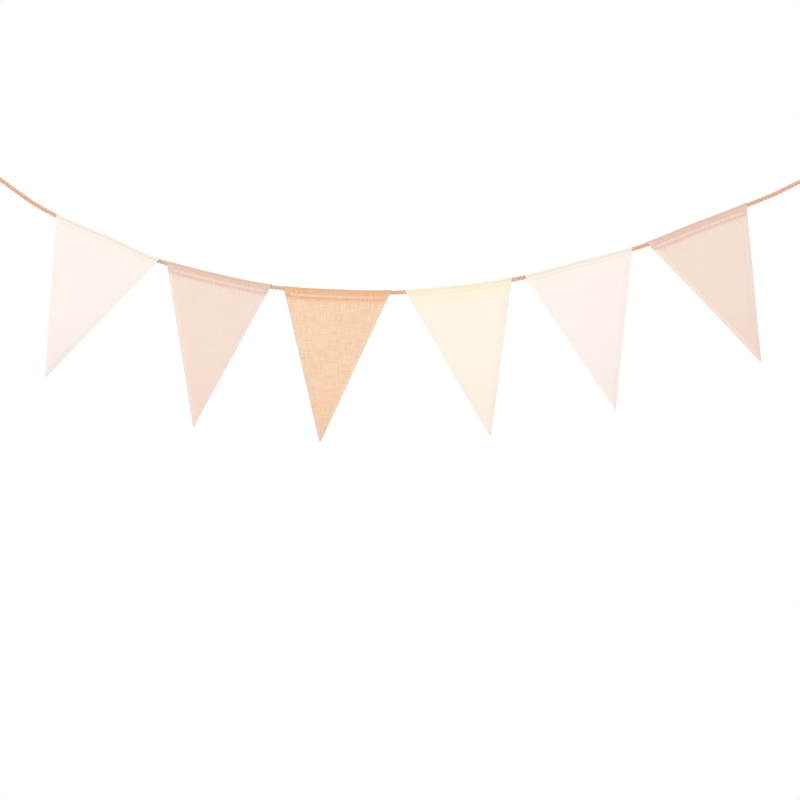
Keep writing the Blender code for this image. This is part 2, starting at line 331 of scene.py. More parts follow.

# How each cloth looks. Colours multiply the cloth's own:
#   fold is the painted shadow round the string, line the turned edge behind it with painted shade along
#   it, left and right the painted light and shade on its side hems
#   stitch is the share of the doubled band that gives way to the painted highlight along the stitching
#   ends is the depth at which the doubled band is gone, and tilt how much sooner per metre to the right
#   slubs and weave are the strengths of its uneven threads and its weave, and the last key that of the
#   painted shade and light on its gathers
CLOTH_LOOKS = {
    "blush": {
        "fold": (0.870, 0.885, 0.870), "fold_depth": 0.0030, "fold_spread": 0.0015,
        "line": (0.985, 0.985, 0.980), "line_depth": 0.0150,
        "stitch": 0.30, "ends": 0.0270, "tilt": -0.020,
        "left": (1.010, 1.010, 1.012), "right": (0.982, 0.982, 0.984),
        "slubs": 0.045, "weave": 0.018, "gather_shade": 0.015,
    },
    "rose": {
        "fold": (0.880, 0.890, 0.905), "fold_depth": 0.0021, "fold_spread": 0.0014,
        "line": (0.930, 0.925, 0.930), "line_depth": 0.0134,
        "stitch": 0.85, "ends": 0.0185, "tilt": 0.0,
        "left": (1.040, 1.060, 1.070), "right": (0.963, 1.020, 1.075),
        "slubs": 0.090, "weave": 0.030, "gather_shade": 0.300,
    },
    "tan": {
        "fold": (0.900, 0.890, 0.880), "fold_depth": 0.0020, "fold_spread": 0.0014,
        "line": (0.870, 0.860, 0.830), "line_depth": 0.0130,
        "stitch": 1.00, "ends": 0.0200, "tilt": 0.0,
        "left": (0.960, 1.000, 1.040), "right": (0.965, 1.060, 1.110),
        "slubs": 0.500, "weave": 0.150, "gather_shade": 0.300,
    },
    "cream": {
        "fold": (0.950, 0.890, 0.875), "fold_depth": 0.0023, "fold_spread": 0.0016,
        "line": (0.990, 0.965, 0.935), "line_depth": 0.0160,
        "stitch": 0.20, "ends": 0.0250, "tilt": 0.033,
        "left": (0.990, 0.990, 1.035), "right": (0.973, 0.973, 0.990),
        "slubs": 0.040, "weave": 0.015, "gather_shade": 0.015,
    },
}


def cloth_finish(name, colours, sizes):
    """Plain-woven cloth with uneven threads, doubled where it is turned over the string."""
    finish = Finish(f"{name}_cloth")
    looks = CLOTH_LOOKS[name]
    across, down = finish.uv("weave")
    from_side, depth = finish.uv("place")

    # Threads: the ones that run down and the ones that run across go over each other in turn
    pitch = sizes.thread_pitch
    wander = finish.noise(finish.vector(across, down), 55.0, 1.0) * 0.7
    turn_across = (across / pitch + wander) * math.pi
    turn_down = (down / pitch + wander) * math.pi
    over = finish.sine(turn_across) * finish.sine(turn_down)
    downward = abs(finish.sine(turn_across)) * (0.5 + over * 0.5)
    crosswise = abs(finish.sine(turn_down)) * (0.5 - over * 0.5)
    weave = finish.math("MAXIMUM", downward, crosswise)

    # Slubs: each thread is thicker and darker over some lengths
    down_slubs = finish.noise(finish.vector(across * 1100.0, down * 60.0), 1.0, 2.0)
    cross_slubs = finish.noise(finish.vector(across * 55.0 + 7.3, down * 1100.0), 1.0, 2.0)
    slubs = down_slubs + cross_slubs - 1.0
    patches = finish.noise(finish.vector(across, down, 3.1), 18.0, 2.0) - 0.5

    # Casing: the doubled band, the string's painted shadow, the painted highlight along the stitching and
    # the turned edge, with painted shade along it
    single = tuple(getattr(colours, name))
    double = tuple(getattr(colours, f"{name}_double"))
    uneven = finish.noise(finish.vector(across, 0.0, 5.7), 28.0, 1.0) - 0.5
    turned = depth + across * looks["tilt"] + uneven * 0.003
    doubled = 1.0 - finish.rise(turned, DOUBLED_DEPTH, looks["ends"])
    # Painted highlight: the doubled band gives way to the lighter single colour along the stitching,
    # where the ridge catches the light
    stitch_highlight = finish.band(depth, HIGHLIGHT_STRIP_DEPTH, HIGHLIGHT_STRIP_SPREAD) * finish.rise(from_side, 0.004, 0.009)
    doubled = doubled * (1.0 - stitch_highlight * looks["stitch"])
    tint = finish.blend(doubled, single, double)
    fold = finish.band(depth, looks["fold_depth"], looks["fold_spread"])
    tint = finish.blend(fold, tint, looks["fold"], "MULTIPLY")
    # The turned edge behind: its extra layers show through as a dashed darker line, with painted shade
    # along it
    dashes = 0.65 + 0.35 * finish.sine(across * (2 * math.pi / sizes.stitch_length))
    line = finish.band(turned, looks["line_depth"], LINE_SPREAD) * dashes
    tint = finish.blend(line, tint, looks["line"], "MULTIPLY")

    # Side hems: painted light on the left one and painted shade on the right one, as if the left turns to
    # the light and the right away from it
    hem = 1.0 - finish.rise(from_side, 0.003, 0.010)
    on_left = finish.math("LESS_THAN", across, 0.0)
    tint = finish.blend(hem * on_left, tint, looks["left"], "MULTIPLY")
    tint = finish.blend(hem * (1.0 - on_left), tint, looks["right"], "MULTIPLY")

    # Painted shade and light of the gathers that the stitching draws across the casing, and painted shade
    # towards the tip
    painted_gather_streaks = finish.noise(finish.vector(across * 520.0, depth * 130.0), 1.0, 1.5) - 0.5
    gathered = finish.rise(finish.noise(finish.vector(across, 0.0, 2.2), 42.0, 0.0), 0.42, 0.62)
    painted_gather_mask = finish.rise(depth, 0.002, 0.006) * (1.0 - finish.rise(depth, 0.014, 0.030))
    painted_gather_mask = painted_gather_mask * (0.25 + gathered * 1.35)
    amount = 1.0 + slubs * looks["slubs"] + patches * (0.2 * looks["slubs"])
    # The last term is painted shade and light on the gathers
    amount = amount + (weave - 0.6) * looks["weave"] + painted_gather_streaks * painted_gather_mask * looks["gather_shade"]
    towards_tip = finish.rise(depth, TIP_SHADE_FROM, TIP_SHADE_TO)
    tint = finish.blend(towards_tip, tint, TIP_SHADE, "MULTIPLY")
    tint = finish.shade(tint, amount, (0.55, 1.0, 1.3))
    height = weave + slubs * 0.8
    finish.surface(tint, 0.92, height, 0.45, 0.0003)
    finish.shader.inputs["Sheen Weight"].default_value = 0.12
    finish.shader.inputs["Sheen Roughness"].default_value = 0.6
    finish.shader.inputs["Specular IOR Level"].default_value = 0.2
    return finish.material


def cord_finish(colours):
    """Jute: fine fibres along the cord, with painted shade between the strands."""
    finish = Finish("jute_cord")
    around, along = finish.uv("weave")
    groove, _ = finish.uv("place")
    fibres = finish.noise(finish.vector(around * 6000.0, along * 420.0), 1.0, 3.0, 0.65)
    patches = finish.noise(finish.vector(around * 90.0, along * 150.0), 1.0, 1.0) - 0.5
    # The groove term is painted shade between the strands
    amount = 1.0 + (fibres - 0.5) * 0.2 + patches * 0.25 - (groove ** 3.0) * 0.1
    tint = finish.shade(tuple(colours.string), amount)
    finish.surface(tint, 0.88, fibres, 0.7, 0.0003)
    finish.shader.inputs["Sheen Weight"].default_value = 0.1
    finish.shader.inputs["Specular IOR Level"].default_value = 0.2
    return finish.material


def thread_finish(name, colours):
    """Sewing thread, a little lighter than its cloth, with its own fine twist."""
    finish = Finish(f"{name}_thread")
    place = finish.node("ShaderNodeTexCoord", None, None, 3)
    twist = finish.noise(place, 2600.0, 1.0)
    tint = finish.shade(tuple(getattr(colours, name)), 1.0 + (twist - 0.5) * 0.2)
    finish.surface(tint, 0.75, twist, 0.4, 0.0001)
    finish.shader.inputs["Specular IOR Level"].default_value = 0.3
    return finish.material


def plain_finish(name, tint, roughness):
    finish = Finish(name)
    place = finish.node("ShaderNodeTexCoord", None, None, 3)
    mottle = finish.noise(place, 3.0, 2.0)
    finish.surface(finish.shade(tint, 0.99 + mottle * 0.02), roughness, mottle, 0.02, 0.001)
    return finish.material


def unit(vectors):
    lengths = np.linalg.norm(vectors, axis=-1, keepdims=True)
    return vectors / np.maximum(lengths, 1e-12)


def eased(share):
    """From 0 to 1 with a soft start and end."""
    return share * share * (3 - 2 * share)


def distances_along(points):
    """How far along the line each of its points is."""
    steps = np.linalg.norm(np.diff(points, axis=0), axis=1)
    return np.concatenate(([0.0], np.cumsum(steps)))


def points_at(wanted, points):
    """The points of the line at these distances along it."""
    distances = distances_along(points)
    return np.stack([np.interp(wanted, distances, points[:, axis]) for axis in range(3)], axis=1)


def evenly_along(points, spacing):
    """The same line with points this far apart."""
    length = distances_along(points)[-1]
    count = max(int(round(length / spacing)), 3) + 1
    return points_at(np.linspace(0.0, length, count), points)


def smooth_through(route, count):
    """Points evenly spread along a smooth curve through the route's own points."""
    points = np.array(route, dtype=float)
    along = distances_along(points)
    slopes = np.gradient(points, along, axis=0)
    wanted = np.linspace(0.0, along[-1], count)
    piece = np.clip(np.searchsorted(along, wanted, side="right") - 1, 0, len(points) - 2)
    span = np.diff(along)[piece][:, None]
    t = (wanted - along[piece])[:, None] / span
    start_weight = (1 + 2 * t) * (1 - t) ** 2
    end_weight = t ** 2 * (3 - 2 * t)
    start_pull = t * (1 - t) ** 2 * span
    end_pull = t ** 2 * (t - 1) * span
    return (
        start_weight * points[piece]
        + end_weight * points[piece + 1]
        + start_pull * slopes[piece]
        + end_pull * slopes[piece + 1]
    )


def in_plane(points):
    """x and z pairs as points of the plane in which the string hangs."""
    points = np.asarray(points)
    return np.stack([points[:, 0], np.zeros(len(points)), points[:, 1]], axis=1)


class HangingString:
    """The string's centre line, read by the distance along it from its left end."""

    FINE_STEPS = 2400

    def __init__(self, ends):
        start, end = ends["left"].string_start(), ends["right"].string_start()
        self.route = [(start[0], start[2]), *STRING_ROUTE, (end[0], end[2])]
        self.points = smooth_through(self.route, self.FINE_STEPS)
        self.distances = distances_along(self.points)

    def centre(self, distance):
        x = np.interp(distance, self.distances, self.points[:, 0])
        z = np.interp(distance, self.distances, self.points[:, 1])
        return np.stack([x, np.zeros_like(x), z], axis=-1)

    def upward(self, distance):
        """The direction across the string, in its plane, on its upper side."""
        reach = 0.002
        ahead = self.centre(distance + reach) - self.centre(distance - reach)
        return unit(np.stack([-ahead[..., 2], np.zeros_like(ahead[..., 0]), ahead[..., 0]], axis=-1))


class LoopEnd:
    """The frame of one hanging loop: its eye, and the direction from the eye to the string."""

    def __init__(self, side):
        self.eye = np.array((LOOP_EYES[side][0], 0.0, LOOP_EYES[side][1]))
        nearest = STRING_ROUTE[0] if side == "left" else STRING_ROUTE[-1]
        self.along = unit(np.array((nearest[0], 0.0, nearest[1])) - self.eye)
        self.across = np.cross((0.0, 1.0, 0.0), self.along)
        if self.across[2] < 0:
            self.across = -self.across
        self.back = np.array((0.0, 1.0, 0.0))

    def at(self, along, across=0.0, back=0.0):
        along, across, back = np.broadcast_arrays(along, across, back)
        return (
            self.eye
            + along[..., None] * self.along
            + across[..., None] * self.across
            + back[..., None] * self.back
        )

    def string_start(self):
        return self.at(KNOT_NEAR + KNOT_LENGTH + CLEARANCE)


def place_object(name, data, place=(0.0, 0.0, 0.0)):
    """An object with this data, put into the scene."""
    obj = bpy.data.objects.new(name, data)
    obj.location = place
    bpy.context.scene.collection.objects.link(obj)
    return obj


def make_object(name, points, faces, uvs, material):
    """A mesh object with smooth shading and the given UV maps, one pair of values to a vertex."""
    mesh = bpy.data.meshes.new(name)
    mesh.from_pydata([tuple(point) for point in points], [], faces)
    corners = np.empty(len(mesh.loops), dtype=np.int32)
    mesh.loops.foreach_get("vertex_index", corners)
    for uv_name, values in uvs.items():
        layer = mesh.uv_layers.new(name=uv_name)
        layer.data.foreach_set("uv", np.asarray(values, dtype=np.float32)[corners].ravel())
    mesh.shade_smooth()
    mesh.materials.append(material)
    mesh.validate()
    return place_object(name, mesh)


def turned_frames(points):
    """Two directions across a line at each of its points, turned as little as possible on the way."""
    tangents = unit(np.gradient(points, axis=0))
    first = np.empty_like(points)
    current = np.eye(3)[np.argmin(np.abs(tangents[0]))]
    for index, tangent in enumerate(tangents):
        current = unit(current - tangent * np.dot(current, tangent))
        first[index] = current
    return first, np.cross(tangents, first)


def twisted_cord(points, radius, lay):
    """Points, faces and UV maps of a cord laid up from three strands, closed at both ends."""
    sides = PLIES * PLY_SIDES
    first, second = turned_frames(points)
    distances = distances_along(points)
    around = np.arange(sides) * (2 * math.pi / sides)
    lobe = (around % (2 * math.pi / PLIES)) - math.pi / PLIES
    middle = 1.0 - PLY_RADIUS
    outline = middle * np.cos(lobe)
    outline = outline + np.sqrt(np.maximum(PLY_RADIUS ** 2 - (middle * np.sin(lobe)) ** 2, 0.0))
    reach = outline * radius
    angles = around[None, :] + (2 * math.pi * distances / lay)[:, None]
    rings = (
        points[:, None, :]
        + (reach * np.cos(angles))[..., None] * first[:, None, :]
        + (reach * np.sin(angles))[..., None] * second[:, None, :]
    )
    vertices = np.concatenate([rings.reshape(-1, 3), points[:1], points[-1:]])
    faces = grid_faces(len(points), sides, wrap=True)
    start_cap, end_cap = len(vertices) - 2, len(vertices) - 1
    last = (len(points) - 1) * sides
    for side in range(sides):
        after = (side + 1) % sides
        faces.append((start_cap, after, side))
        faces.append((end_cap, last + side, last + after))
    groove = np.abs(lobe) / (math.pi / PLIES)
    maps = {"weave": (angles * radius, distances[:, None]), "place": (groove, angles * 0.0)}
    uvs = {}
    for name, pair in maps.items():
        grid = np.stack(np.broadcast_arrays(*pair), axis=-1)
        uvs[name] = np.concatenate([grid.reshape(-1, 2), grid[0, :1], grid[-1, :1]])
    return vertices, faces, uvs


def grid_faces(rows, columns, wrap=False, start=0, flip=False):
    """Four-sided faces over a grid of vertices, row by row."""
    faces = []
    for row in range(rows - 1):
        for column in range(columns if wrap else columns - 1):
            after = (column + 1) % columns
            corner = start + row * columns
            face = (corner + column, corner + after, corner + columns + after, corner + columns + column)
            faces.append(face[::-1] if flip else face)
    return faces


def join_parts(parts):
    """Several (points, faces, UV maps) as one."""
    points, faces, uvs, count = [], [], {}, 0
    for part_points, part_faces, part_uvs in parts:
        points.append(part_points)
        faces += [tuple(index + count for index in face) for face in part_faces]
        for name, values in part_uvs.items():
            uvs.setdefault(name, []).append(values)
        count += len(part_points)
    return np.concatenate(points), faces, {name: np.concatenate(v) for name, v in uvs.items()}


class PennantCloth:
    """Where each point of one pennant's cloth hangs, on the same mapping as its solid."""

    def __init__(self, row, string, thickness):
        for name, value in zip(PENNANT_COLUMNS, row):
            setattr(self, name, value)
        self.string = string
        self.thickness = thickness
        self.hem_step = thickness + LAYER_SLACK
        left, right = string.centre(self.start), string.centre(self.start + self.width)
        self.ahead = unit(right - left)
        self.upward = np.array((-self.ahead[2], 0.0, self.ahead[0]))
        self.middle = (left + right) / 2 + self.upward * SOLID_FOLD_RADIUS
        self.tip = self.middle + self.ahead * self.lean - self.upward * self.height
        self.fold_radius = CORD_REACH + STRING_SLACK + thickness / 2

    def width_at(self, depth):
        share = depth / self.height
        return self.width * (1 - share) + TIP_WIDTH * share

    def hem_at(self, width):
        return np.minimum(self.hem, WIDEST_HEM * width)

    def climb_at(self, width):
        return np.minimum(HEM_CLIMB, WIDEST_CLIMB * width)

    def over_hem(self, from_side, width):
        """1 where the front lies over a hem, 0 past the climb beside it."""
        climb = self.climb_at(width)
        return eased(np.clip((self.hem_at(width) + climb - from_side) / climb, 0.0, 1.0))

    def drape(self, side, depth):
        """How far back the cloth lies. side is -1 at the left edge and 1 at the right."""
        share = depth / self.height
        below_casing = np.clip((depth - STITCH_DEPTH) / FREE_BELOW_STITCH, 0.0, 1.0)
        bow = -self.bow * (1 - side * side) * np.sin(math.pi * share)
        swing = self.swing * share ** 2
        twist = self.twist * side * share * (1 - 0.5 * share)
        wave = np.sin(2 * math.pi * (self.count * side / 2 + self.phase))
        ripple = self.ripple * wave * np.exp(-depth / RIPPLE_FADE)
        return (bow + twist + ripple) * below_casing + swing

    def pucker(self, from_left, depth):
        """Small gathers that the stitching draws into the cloth beside it."""
        bend = 0.8 * np.sin(2 * math.pi * (from_left / 0.037 + self.phase))
        wave = np.sin(2 * math.pi * (from_left / 0.0115 + self.phase * 3) + bend)
        below = np.maximum(depth - STITCH_DEPTH, 0.0)
        above = np.maximum(STITCH_DEPTH - depth, 0.0)
        strength = (1 - np.exp(-below / 0.0025)) * np.exp(-below / 0.008)
        return self.ripple * (0.22 * strength * wave + 0.05 * np.exp(-above / 0.002) * wave)

    def point(self, from_left, depth, offset):
        """The point this far from the left edge and below the solid's fold. offset is forward."""
        width = self.width_at(depth)
        along = from_left / width
        distance = self.start + along * self.width
        fold = self.string.centre(distance)
        fold = fold + self.string.upward(distance) * SOLID_FOLD_RADIUS
        tip_place = self.tip + (along - 0.5)[..., None] * self.ahead * TIP_WIDTH
        share = (depth / self.height)[..., None]
        flat = fold * (1 - share) + tip_place * share
        flat[..., 1] += self.drape(2 * along - 1, depth) + self.pucker(from_left, depth) - offset
        return flat

    def section(self):
        """Rows of the cloth's middle, from the turned-over edge at the back, over the string, to the tip.

        Each row is its depth below the solid's fold, its offset to the front, the direction out of
        the cloth in those two, and how much a hem behind it pushes it out.
        """
        radius = self.fold_radius
        centre = SOLID_FOLD_RADIUS
        below = STITCH_DEPTH - centre
        leaves_at = math.atan2(SEWN_OFFSET, below) + math.acos(radius / math.hypot(SEWN_OFFSET, below))
        rows = []
        for depth in np.linspace(FLAP_DEPTH, STITCH_DEPTH, 8)[:-1]:
            share = (depth - STITCH_DEPTH) / (FLAP_DEPTH - STITCH_DEPTH)
            offset = SEWN_OFFSET + (FLAP_LIFT - SEWN_OFFSET) * share ** 1.5
            rows.append((depth, -offset, 0.0, -1.0, 1.0))
        rows.append((STITCH_DEPTH, -SEWN_OFFSET, 0.0, -1.0, 1.0))
        leave_depth = centre + radius * math.cos(leaves_at)
        leave_offset = radius * math.sin(leaves_at)
        normal = (math.cos(leaves_at), math.sin(leaves_at))
        straight = []
        for share in np.linspace(0.0, 1.0, 7)[1:-1]:
            depth = STITCH_DEPTH + (leave_depth - STITCH_DEPTH) * share
            offset = SEWN_OFFSET + (leave_offset - SEWN_OFFSET) * share
            bend = math.sin(math.pi * share) * CASING_BULGE
            push = 1.0 + (HEM_AT_FOLD - 1.0) * share
            straight.append((depth + normal[0] * bend, offset + normal[1] * bend, *normal, push))
        rows += [(depth, -offset, down, -front, push) for depth, offset, down, front, push in straight]
        for step in range(FOLD_STEPS + 1):
            angle = leaves_at + 2 * (math.pi - leaves_at) * step / FOLD_STEPS
            down, back = math.cos(angle), math.sin(angle)
            rows.append((centre + radius * down, -radius * back, down, -back, HEM_AT_FOLD))
        rows += straight[::-1]
        rows.append((STITCH_DEPTH, SEWN_OFFSET, 0.0, 1.0, 1.0))
        for depth in np.linspace(STITCH_DEPTH, FLAP_DEPTH, 8)[1:]:
            rows.append((depth, self.front_offset(depth), 0.0, 1.0, 1.0))
        depth = FLAP_DEPTH
        step = FIRST_ROW
        while depth + step < self.height - FIRST_ROW:
            depth += step
            step = min(step * ROW_GROWTH, WIDEST_ROW)
            push = eased(max(0.0, 1 - (depth - FLAP_DEPTH) / HEM_FADE))
            rows.append((depth, self.front_offset(depth), 0.0, 1.0, push))
        rows.append((self.height, BODY_OFFSET, 0.0, 1.0, 0.0))
        return np.array(rows)

    def front_offset(self, depth):
        """Of the front layer's middle, below the stitching."""
        share = min((depth - STITCH_DEPTH) / (1.4 * (FLAP_DEPTH - STITCH_DEPTH)), 1.0)
        return SEWN_OFFSET + (BODY_OFFSET - SEWN_OFFSET) * eased(share)

    def hem_stitch_at(self, width):
        hem = self.hem_at(width)
        return hem - np.minimum(HEM_STITCH_INSET, WIDEST_HEM * hem)

    def columns(self, width):
        """Distance from the left edge, and how far in from the cloth's middle, of each column.

        They run from the left hem's inner edge, behind the cloth, round the edge, over the front and
        round the right edge to the right hem's inner edge.
        """
        turn = (self.hem_step + self.thickness) / 2
        hem, stitch, climb = self.hem_at(width), self.hem_stitch_at(width), self.climb_at(width)
        hem_places = [turn + (hem - turn) * share for share in (1.0, 0.86, 0.6, 0.3, 0.0)]
        left = [(place, self.hem_step) for place in hem_places]
        for angle in np.linspace(0.0, math.pi, 7)[1:-1]:
            inward = self.hem_step / 2 * (1 + math.cos(angle))
            left.append((turn - self.hem_step / 2 * math.sin(angle), inward))
        left += [(turn + (stitch - turn) * share, 0.0) for share in (0.0, 0.3, 0.55, 0.75, 0.9)]
        left += [(stitch, STITCH_PRESS), ((stitch + hem) / 2, 0.3 * STITCH_PRESS), (hem, 0.0)]
        left += [(hem + climb * share, 0.0) for share in (0.35, 0.7, 1.0)]
        start = hem + climb
        shares = np.linspace(0, 1, INNER_COLUMNS + 2)[1:-1]
        inner = [(start + (width - 2 * start) * share, 0.0) for share in shares]
        right = [(width - place, inward) for place, inward in left[::-1]]
        return left + inner + right


def closed_cloth(middle, thickness):
    """The two faces of a sheet and the rims between them, from a grid of its middle's points."""
    down = np.gradient(middle, axis=0)
    across = np.gradient(middle, axis=1)
    normals = unit(np.cross(down, across))
    rows, columns = middle.shape[:2]
    front = middle + normals * thickness / 2
    behind = middle - normals * thickness / 2
    points = np.concatenate([front.reshape(-1, 3), behind.reshape(-1, 3)])
    count = rows * columns
    faces = grid_faces(rows, columns, flip=True)
    faces += grid_faces(rows, columns, start=count)
    index = np.arange(count).reshape(rows, columns)
    for rim in (index[0, ::-1], index[-1], index[:, 0], index[::-1, -1]):
        for here, after in zip(rim[:-1].tolist(), rim[1:].tolist()):
            faces.append((here, here + count, after + count, after))
    return points, faces


def make_pennant(number, row, string, sizes, material):
    """One pennant's cloth from its row of measures, and where it hangs."""
    cloth = PennantCloth(row, string, sizes.cloth_thickness)
    section = cloth.section()
    depths = section[:, 0]
    width = cloth.width_at(depths)
    columns = [np.broadcast_arrays(place, inward, width)[:2] for place, inward in cloth.columns(width)]
    places, inwards = np.stack(columns, axis=-1)
    from_side = np.minimum(places, width[:, None] - places)
    over_hem = cloth.over_hem(from_side, width[:, None])
    out = section[:, 4:5] * cloth.hem_step * over_hem - inwards
    depth = depths[:, None] + section[:, 2:3] * out
    offset = section[:, 1:2] + section[:, 3:4] * out
    middle = cloth.point(places, depth, offset)
    points, faces = closed_cloth(middle, sizes.cloth_thickness)

    # UV maps: metres along the weave, from the middle and the fold, and the place in the pennant
    down = distances_along(section[:, :2])
    down = down - down[np.argmin(depths)]
    fold = SOLID_FOLD_RADIUS - cloth.fold_radius - sizes.cloth_thickness / 2
    weave = np.stack(np.broadcast_arrays(places - width[:, None] / 2, down[:, None]), axis=-1)
    place = np.stack(np.broadcast_arrays(from_side, depths[:, None] - fold), axis=-1)
    maps = {"weave": weave, "place": place}
    uvs = {name: np.tile(values.reshape(-1, 2), (2, 1)) for name, values in maps.items()}
    obj = make_object(f"pennant_{number}_cloth", points, faces, uvs, material)
    obj.data.set_sharp_from_angle(angle=math.radians(60))
    return cloth, obj


def stitches(starts, ends, outwards, radius):
    """Short raised threads, each with both ends drawn into the cloth."""
    shares = np.array((0.0, 0.16, 0.5, 0.84, 1.0))
    lifts = np.array((-0.7, 0.35, 0.6, 0.35, -0.7)) * radius
    girths = np.array((0.6, 1.0, 1.0, 1.0, 0.6)) * radius
    sides = 6
    angles = np.arange(sides) * 2 * math.pi / sides
    aside = unit(np.cross(ends - starts, outwards))
    parts = []
    for start, end, outward, side in zip(starts, ends, outwards, aside):
        centres = start + (end - start) * shares[:, None] + outward * lifts[:, None]
        ring = np.cos(angles)[:, None] * side + np.sin(angles)[:, None] * outward
        points = centres[:, None, :] + ring[None, :, :] * girths[:, None, None]
        faces = grid_faces(len(shares), sides, wrap=True, flip=True)
        last = (len(shares) - 1) * sides
        faces.append(tuple(range(sides)))
        faces.append(tuple(range(last, last + sides))[::-1])
        parts.append((points.reshape(-1, 3), faces, {}))
    return parts


def stitch_row(cloth, places, depths, offsets, outward, sizes):
    """Stitches along a line on the cloth, given by arrays of where it runs."""
    line = cloth.point(places, depths, offsets)
    count = int(distances_along(line)[-1] / sizes.stitch_length)
    begins = np.arange(count) * sizes.stitch_length
    starts = points_at(begins, line)
    ends = points_at(begins + sizes.stitch_length * 0.8, line)
    outwards = np.repeat(np.array([outward], dtype=float), count, axis=0)
    return stitches(starts, ends, outwards, sizes.stitch_radius)


def make_stitching(number, cloth, sizes, material):
    """The casing's row of stitches and the two hems' rows, on the front and on the back."""
    parts = []
    half = cloth.thickness / 2
    width = cloth.width_at(STITCH_DEPTH)
    places = np.linspace(CASING_STITCH_INSET, width - CASING_STITCH_INSET, 200)
    over_hem = cloth.over_hem(np.minimum(places, width - places), width)
    depths = np.full_like(places, STITCH_DEPTH)
    front = SEWN_OFFSET + half + over_hem * cloth.hem_step
    parts += stitch_row(cloth, places, depths, front, (0.0, -1.0, 0.0), sizes)
    parts += stitch_row(cloth, places, depths, -front, (0.0, 1.0, 0.0), sizes)
    depths = np.linspace(FLAP_DEPTH + 0.004, cloth.height - 0.006, 400)
    width = cloth.width_at(depths)
    inset = cloth.hem_stitch_at(width)
    offsets = np.array([cloth.front_offset(depth) for depth in depths])
    front = offsets + half - STITCH_PRESS
    behind = offsets - half - cloth.hem_step
    for places in (inset, width - inset):
        parts += stitch_row(cloth, places, depths, front, (0.0, -1.0, 0.0), sizes)
        parts += stitch_row(cloth, places, depths, behind, (0.0, 1.0, 0.0), sizes)
    points, faces, uvs = join_parts(parts)
    return make_object(f"pennant_{number}_stitching", points, faces, uvs, material)


def make_string(string, ends, sizes, material):
    """The string, with both ends drawn into the knots."""
    inside = {side: end.at(KNOT_NEAR + KNOT_LENGTH - DRAWN_IN)[None, :] for side, end in ends.items()}
    points = np.concatenate([inside["left"], in_plane(string.points), inside["right"]])
    points = evenly_along(points, RING_SPACING)
    vertices, faces, uvs = twisted_cord(points, CORD_REACH, sizes.cord_lay)
    return make_object("string_cord", vertices, faces, uvs, material)


def make_loop(side, end, sizes, material):
    """The string's end bent into a loop whose two legs run into the knot."""
    half = [(KNOT_NEAR + LEGS_IN, LOOP_HALF[0][1]), *LOOP_HALF]
    far_side = [(along, -across) for along, across in reversed(half)]
    flat = smooth_through([*half, (LOOP_FAR_END, 0.0), *far_side], 400)
    points = evenly_along(end.at(flat[:, 0], flat[:, 1]), RING_SPACING * 0.8)
    vertices, faces, uvs = twisted_cord(points, LOOP_REACH, sizes.cord_lay)
    return make_object(f"hang_loop_{side}_cord", vertices, faces, uvs, material)


def make_knot(side, end, sizes, material):
    """The cord wound round the loop's legs, three times over one side, with both ends drawn in."""
    wide = KNOT_HALF_WIDTH - KNOT_REACH
    deep = KNOT_HALF_WIDTH * KNOT_FLATNESS - KNOT_REACH
    rise = KNOT_LENGTH - 2 * KNOT_REACH
    last_turn = KNOT_TURNS - 1
    turns = np.linspace(-KNOT_ENDS, last_turn + KNOT_ENDS, 500)
    from_end = np.minimum(turns, last_turn - turns) + KNOT_ENDS
    wound = 0.45 + 0.55 * np.clip(from_end / KNOT_ENDS, 0.0, 1.0)
    angle = 2 * math.pi * turns
    points = end.at(
        KNOT_NEAR + KNOT_REACH + rise * np.clip(turns / last_turn, 0.0, 1.0),
        -wide * wound * np.cos(angle),
        deep * wound * np.sin(angle),
    )
    points = evenly_along(points, RING_SPACING * 0.6)
    vertices, faces, uvs = twisted_cord(points, KNOT_REACH, sizes.cord_lay * 0.9)
    return make_object(f"hang_knot_{side}_cord", vertices, faces, uvs, material)


def make_tail(side, end, sizes, material, draws):
    """The short free end that leaves the knot below the string, with its strands frayed out."""
    start = end.string_start() - end.across * TAIL_OFFSET
    flat = smooth_through(TAIL_ROUTE, 200)
    points = start + flat[:, :1] * end.along
    points[:, 2] -= flat[:, 1]
    lead = start - end.along * LEGS_IN
    points = evenly_along(np.concatenate([[lead], points]), RING_SPACING * 0.7)
    parts = [twisted_cord(points, LOOP_REACH, sizes.cord_lay)]
    tangent = unit(points[-1] - points[-3])
    first, second = turned_frames(points)
    shares = np.linspace(0.0, 1.0, 7)[:, None]
    for _ in range(FIBRES):
        angle = draws.uniform(0, 2 * math.pi)
        reach = FIBRE_REACH * math.sqrt(draws.uniform())
        outward = first[-1] * math.cos(angle) + second[-1] * math.sin(angle)
        root = points[-1] - tangent * FIBRE_ROOT + outward * reach
        length = draws.uniform(*FIBRE_LENGTHS)
        spread = outward * draws.uniform(0.0, FIBRE_SPREAD) - np.array((0.0, 0.0, FIBRE_SAG))
        strand = root + tangent * length * shares + spread * shares ** 2
        parts.append(fibre(strand, draws.uniform(*FIBRE_RADII)))
    points, faces, uvs = join_parts(parts)
    return make_object(f"string_tail_{side}_cord", points, faces, uvs, material)


def fibre(points, radius):
    """One thin fibre that narrows to its end."""
    sides = 4
    first, second = turned_frames(points)
    angles = np.arange(sides) * 2 * math.pi / sides
    girth = radius * np.linspace(1.0, 0.25, len(points))[:, None, None]
    ring = np.cos(angles)[None, :, None] * first[:, None, :]
    ring = ring + np.sin(angles)[None, :, None] * second[:, None, :]
    vertices = (points[:, None, :] + ring * girth).reshape(-1, 3)
    faces = grid_faces(len(points), sides, wrap=True)
    last = (len(points) - 1) * sides
    faces.append(tuple(range(sides))[::-1])
    faces.append(tuple(range(last, last + sides)))
    around = np.tile(angles * radius, len(points))
    along = np.repeat(np.linspace(0, 0.005, len(points)), sides)
    weave = np.stack([around, along], axis=1)
    return vertices, faces, {"weave": weave, "place": weave * 0.0}


def loop_ends():
    return {side: LoopEnd(side) for side in LOOP_EYES}


